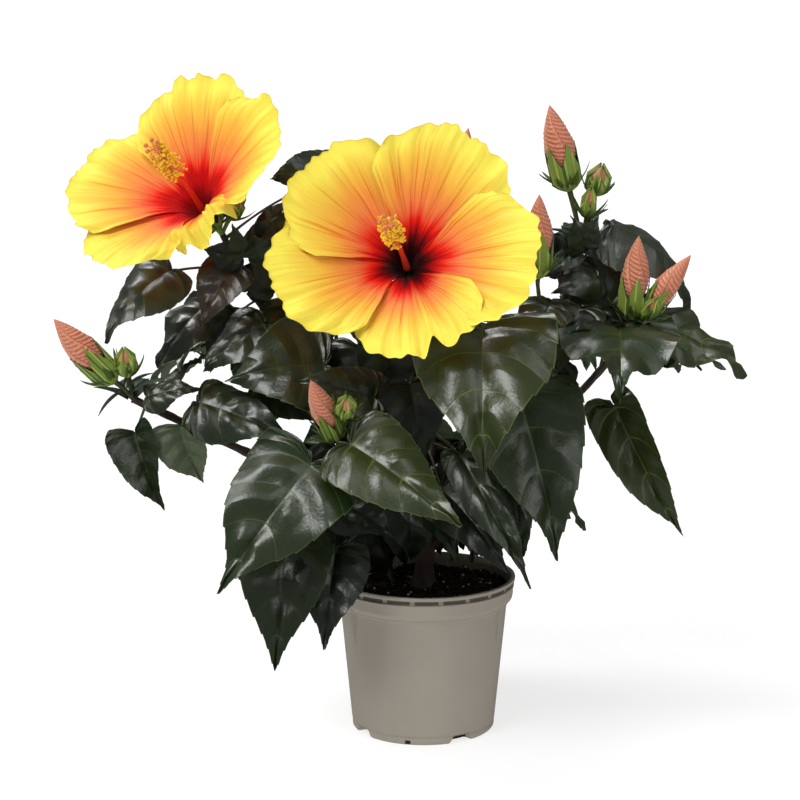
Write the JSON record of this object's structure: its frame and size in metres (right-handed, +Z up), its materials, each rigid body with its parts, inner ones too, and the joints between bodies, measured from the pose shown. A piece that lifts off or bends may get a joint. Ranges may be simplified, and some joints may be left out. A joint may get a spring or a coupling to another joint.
{
  "type": "potted hibiscus shrub",
  "caption": "Young flowering hibiscus shrub with large five-petalled blooms, pointed buds and glossy toothed leaves, standing in a tapered plastic nursery pot.",
  "frame": {"origin": "centre of the flat underside of the pot", "axes": "+Z up, -Y towards the side with the large front bloom, +X to the right of it"},
  "size_m": [0.4445, 0.2892, 0.4205],
  "materials": {
    "pot": "satin",
    "soil": "matte",
    "bark": "matte",
    "petal": "satin",
    "bud": "satin",
    "leaf": "gloss"
  },
  "bodies": {
    "root": {"pot": "pot", "soil": "soil", "trunk": "bark", "bough_left_low": "bark", "bough_left_high": "bark", "bough_centre": "bark", "bough_front": "bark", "bough_right_high": "bark", "bough_right": "bark", "bough_right_low": "bark", "bough_back_left": "bark", "bough_back": "bark", "bough_back_right": "bark", "bloom_front": "petal", "bloom_left": "petal", "buds_left_tip": "bud", "buds_front": "bud", "buds_top_right": "bud", "buds_right": "bud", "buds_back": "bud", "bud_beside_bloom": "bud", "bud_behind_bloom": "bud", "leaves_left_tip_hanging": "leaf", "leaves_left_tip_small": "leaf", "leaves_left_under": "leaf", "leaves_left_inward": "leaf", "leaves_left_inner": "leaf", "leaves_left_inner_high": "leaf", "leaves_left_mid": "leaf", "leaves_left_red": "leaf", "leaves_left_far": "leaf", "leaves_between_blooms": "leaf", "leaves_under_left_bloom": "leaf", "leaves_front_low_left": "leaf", "leaves_front_low_left_under": "leaf", "leaves_front_hanging": "leaf", "leaves_front_shade": "leaf", "leaves_front_low_right": "leaf", "leaves_front_back_of_bud": "leaf", "leaves_centre_wide": "leaf", "leaves_centre_shade": "leaf", "leaves_centre_hanging": "leaf", "leaves_right_drooping": "leaf", "leaves_right_large": "leaf", "leaves_right_hanging": "leaf", "leaves_right_broad": "leaf", "leaves_right_glossy": "leaf", "leaves_right_behind": "leaf", "leaves_right_far": "leaf", "leaves_right_arching": "leaf", "leaves_bloom_right_low": "leaf", "leaves_back_low_left": "leaf", "leaves_back_far_left": "leaf", "leaves_back_top_left": "leaf", "leaves_back_low": "leaf", "leaves_back_mid": "leaf", "leaves_back_top": "leaf", "leaves_back_low_right": "leaf", "leaves_back_far_right": "leaf", "leaves_back_top_right": "leaf"}
  },
  "joints": []
}
